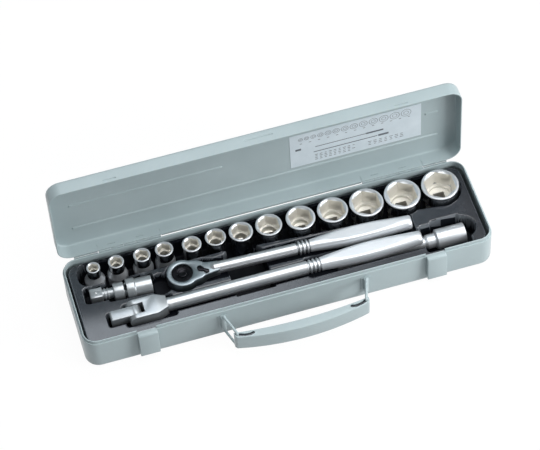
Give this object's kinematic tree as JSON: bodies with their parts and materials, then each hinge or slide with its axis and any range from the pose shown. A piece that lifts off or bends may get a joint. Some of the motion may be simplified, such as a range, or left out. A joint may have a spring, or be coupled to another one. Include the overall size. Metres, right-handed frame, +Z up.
{
  "type": "socket wrench set in case",
  "caption": "Hinged steel case with latches and folding carry handle; moulded insert holds hex sockets, ratchet, flex handle, universal joint and extension bar.",
  "frame": {"origin": "centre of the tray's underside", "axes": "+X along the case to the right, +Y to the hinge at the back, +Z up"},
  "size_m": [0.468, 0.1808, 0.1608],
  "materials": {
    "case_paint": "semi-gloss enamel",
    "chrome_steel": "polished",
    "plain_steel": "satin",
    "black_oxide": "black oxide",
    "insert_plastic": "semi-gloss",
    "label_sheet": "printed sheet"
  },
  "bodies": {
    "case_tray": {"tray": "case_paint", "insert": "insert_plastic", "hinge_pins": "plain_steel", "latch_pins": "plain_steel", "latch_springs": "plain_steel", "handle_brackets": "case_paint"},
    "case_lid": {"lid": "case_paint", "label": "label_sheet"},
    "left_latch": {"latch_left": "case_paint"},
    "right_latch": {"latch_right": "case_paint"},
    "carry_grip": {"handle_grip": "case_paint"},
    "left_arm": {"handle_arm_left": "case_paint"},
    "right_arm": {"handle_arm_right": "case_paint"},
    "socket_10": {"socket_10": "chrome_steel"},
    "socket_12": {"socket_12": "chrome_steel"},
    "socket_13": {"socket_13": "chrome_steel"},
    "socket_14": {"socket_14": "chrome_steel"},
    "socket_15": {"socket_15": "chrome_steel"},
    "socket_17": {"socket_17": "chrome_steel"},
    "socket_19": {"socket_19": "chrome_steel"},
    "socket_22": {"socket_22": "chrome_steel"},
    "socket_24": {"socket_24": "chrome_steel"},
    "socket_26": {"socket_26": "chrome_steel"},
    "socket_29": {"socket_29": "chrome_steel"},
    "socket_30": {"socket_30": "chrome_steel"},
    "socket_32": {"socket_32": "chrome_steel"},
    "ratchet": {"ratchet_handle": "chrome_steel", "ratchet_cover": "black_oxide", "ratchet_snap_ring": "black_oxide"},
    "rotor": {"ratchet_rotor": "black_oxide", "ratchet_ball": "plain_steel"},
    "button": {"ratchet_button": "black_oxide"},
    "lever": {"ratchet_lever": "black_oxide"},
    "pawl": {"ratchet_pawl": "black_oxide"},
    "extension": {"extension_bar": "chrome_steel", "extension_ball": "plain_steel"},
    "flex": {"flex_handle": "chrome_steel", "flex_pin": "plain_steel"},
    "flex_tip": {"flex_head": "chrome_steel", "flex_ball": "plain_steel"},
    "joint_base": {"joint_socket_end": "chrome_steel"},
    "joint_spider": {"joint_cross": "plain_steel"},
    "joint_tip": {"joint_square_end": "chrome_steel", "joint_ball": "plain_steel"}
  },
  "joints": [
    {"name": "lid_hinge", "type": "hinge", "parent": "case_tray", "child": "case_lid", "pos_m": [0, 0.0601, 0.0427], "axis": [-1, 0, 0], "range_deg": [-91, 0]},
    {"name": "left_latch_hinge", "type": "hinge", "parent": "case_tray", "child": "left_latch", "pos_m": [-0.1645, -0.0624, 0.012], "axis": [1, 0, 0], "range_deg": [0, 30], "stiffness_Nm_per_rad": 0.02, "springref_deg": -17.19},
    {"name": "right_latch_hinge", "type": "hinge", "parent": "case_tray", "child": "right_latch", "pos_m": [0.1645, -0.0624, 0.012], "axis": [1, 0, 0], "range_deg": [0, 30], "stiffness_Nm_per_rad": 0.02, "springref_deg": -17.19},
    {"name": "handle_fold", "type": "slide", "parent": "case_tray", "child": "carry_grip", "axis": [0, 1, 0], "range_m": [0, 0.0183]},
    {"name": "left_arm_pivot", "type": "hinge", "parent": "case_tray", "child": "left_arm", "pos_m": [-0.0799, -0.0613, 0.025], "axis": [0, 0, 1], "range_deg": [0, 50.2]},
    {"name": "right_arm_pivot", "type": "hinge", "parent": "case_tray", "child": "right_arm", "pos_m": [0.0833, -0.0613, 0.025], "axis": [0, 0, -1], "range_deg": [0, 50.2]},
    {"name": "socket_10_lift", "type": "slide", "parent": "case_tray", "child": "socket_10", "axis": [0, 0, 1], "range_m": [0, 0.06]},
    {"name": "socket_12_lift", "type": "slide", "parent": "case_tray", "child": "socket_12", "axis": [0, 0, 1], "range_m": [0, 0.06]},
    {"name": "socket_13_lift", "type": "slide", "parent": "case_tray", "child": "socket_13", "axis": [0, 0, 1], "range_m": [0, 0.06]},
    {"name": "socket_14_lift", "type": "slide", "parent": "case_tray", "child": "socket_14", "axis": [0, 0, 1], "range_m": [0, 0.06]},
    {"name": "socket_15_lift", "type": "slide", "parent": "case_tray", "child": "socket_15", "axis": [0, 0, 1], "range_m": [0, 0.06]},
    {"name": "socket_17_lift", "type": "slide", "parent": "case_tray", "child": "socket_17", "axis": [0, 0, 1], "range_m": [0, 0.06]},
    {"name": "socket_19_lift", "type": "slide", "parent": "case_tray", "child": "socket_19", "axis": [0, 0, 1], "range_m": [0, 0.06]},
    {"name": "socket_22_lift", "type": "slide", "parent": "case_tray", "child": "socket_22", "axis": [0, 0, 1], "range_m": [0, 0.06]},
    {"name": "socket_24_lift", "type": "slide", "parent": "case_tray", "child": "socket_24", "axis": [0, 0, 1], "range_m": [0, 0.06]},
    {"name": "socket_26_lift", "type": "slide", "parent": "case_tray", "child": "socket_26", "axis": [0, 0, 1], "range_m": [0, 0.06]},
    {"name": "socket_29_lift", "type": "slide", "parent": "case_tray", "child": "socket_29", "axis": [0, 0, 1], "range_m": [0, 0.06]},
    {"name": "socket_30_lift", "type": "slide", "parent": "case_tray", "child": "socket_30", "axis": [0, 0, 1], "range_m": [0, 0.06]},
    {"name": "socket_32_lift", "type": "slide", "parent": "case_tray", "child": "socket_32", "axis": [0, 0, 1], "range_m": [0, 0.06]},
    {"name": "ratchet_lift", "type": "slide", "parent": "case_tray", "child": "ratchet", "axis": [0, 0, 1], "range_m": [0, 0.06]},
    {"name": "rotor_spin", "type": "hinge", "parent": "ratchet", "child": "rotor", "pos_m": [-0.108, 0.0042, 0.038], "axis": [0, 0, 1], "continuous": true},
    {"name": "button_press", "type": "slide", "parent": "rotor", "child": "button", "axis": [0, 0, -1], "range_m": [0, 0.0015], "stiffness_N_per_m": 300, "springref_m": -0.001},
    {"name": "lever_swing", "type": "hinge", "parent": "ratchet", "child": "lever", "pos_m": [-0.08801, 0.00357, 0.038], "axis": [0, 0, 1], "range_deg": [0, 78]},
    {"name": "pawl_rock", "type": "hinge", "parent": "ratchet", "child": "pawl", "pos_m": [-0.08801, 0.00357, 0.038], "axis": [0, 0, 1], "range_deg": [0, 5]},
    {"name": "extension_lift", "type": "slide", "parent": "case_tray", "child": "extension", "axis": [0, 0, 1], "range_m": [0, 0.06]},
    {"name": "flex_lift", "type": "slide", "parent": "extension", "child": "flex", "axis": [0, 0, 1], "range_m": [0, 0.06]},
    {"name": "flex_tilt", "type": "hinge", "parent": "flex", "child": "flex_tip", "pos_m": [-0.17, -0.0275, 0.038], "axis": [0, 1, 0], "range_deg": [-90, 90]},
    {"name": "joint_lift", "type": "slide", "parent": "case_tray", "child": "joint_base", "axis": [0, 0, 1], "range_m": [0, 0.06]},
    {"name": "joint_yaw", "type": "hinge", "parent": "joint_base", "child": "joint_spider", "pos_m": [-0.1665, 0.0087, 0.033], "axis": [0, 0, 1], "range_deg": [-4, 4]},
    {"name": "joint_pitch", "type": "hinge", "parent": "joint_spider", "child": "joint_tip", "pos_m": [-0.1665, 0.0087, 0.033], "axis": [0.0523, 0.9986, 0], "range_deg": [0, 15]}
  ],
  "couplings": [
    {"joint": "left_arm_pivot", "follows": "handle_fold", "rad_per_m": 47.687},
    {"joint": "right_arm_pivot", "follows": "handle_fold", "rad_per_m": 47.687},
    {"joint": "pawl_rock", "follows": "lever_swing", "ratio": 0.0625}
  ]
}
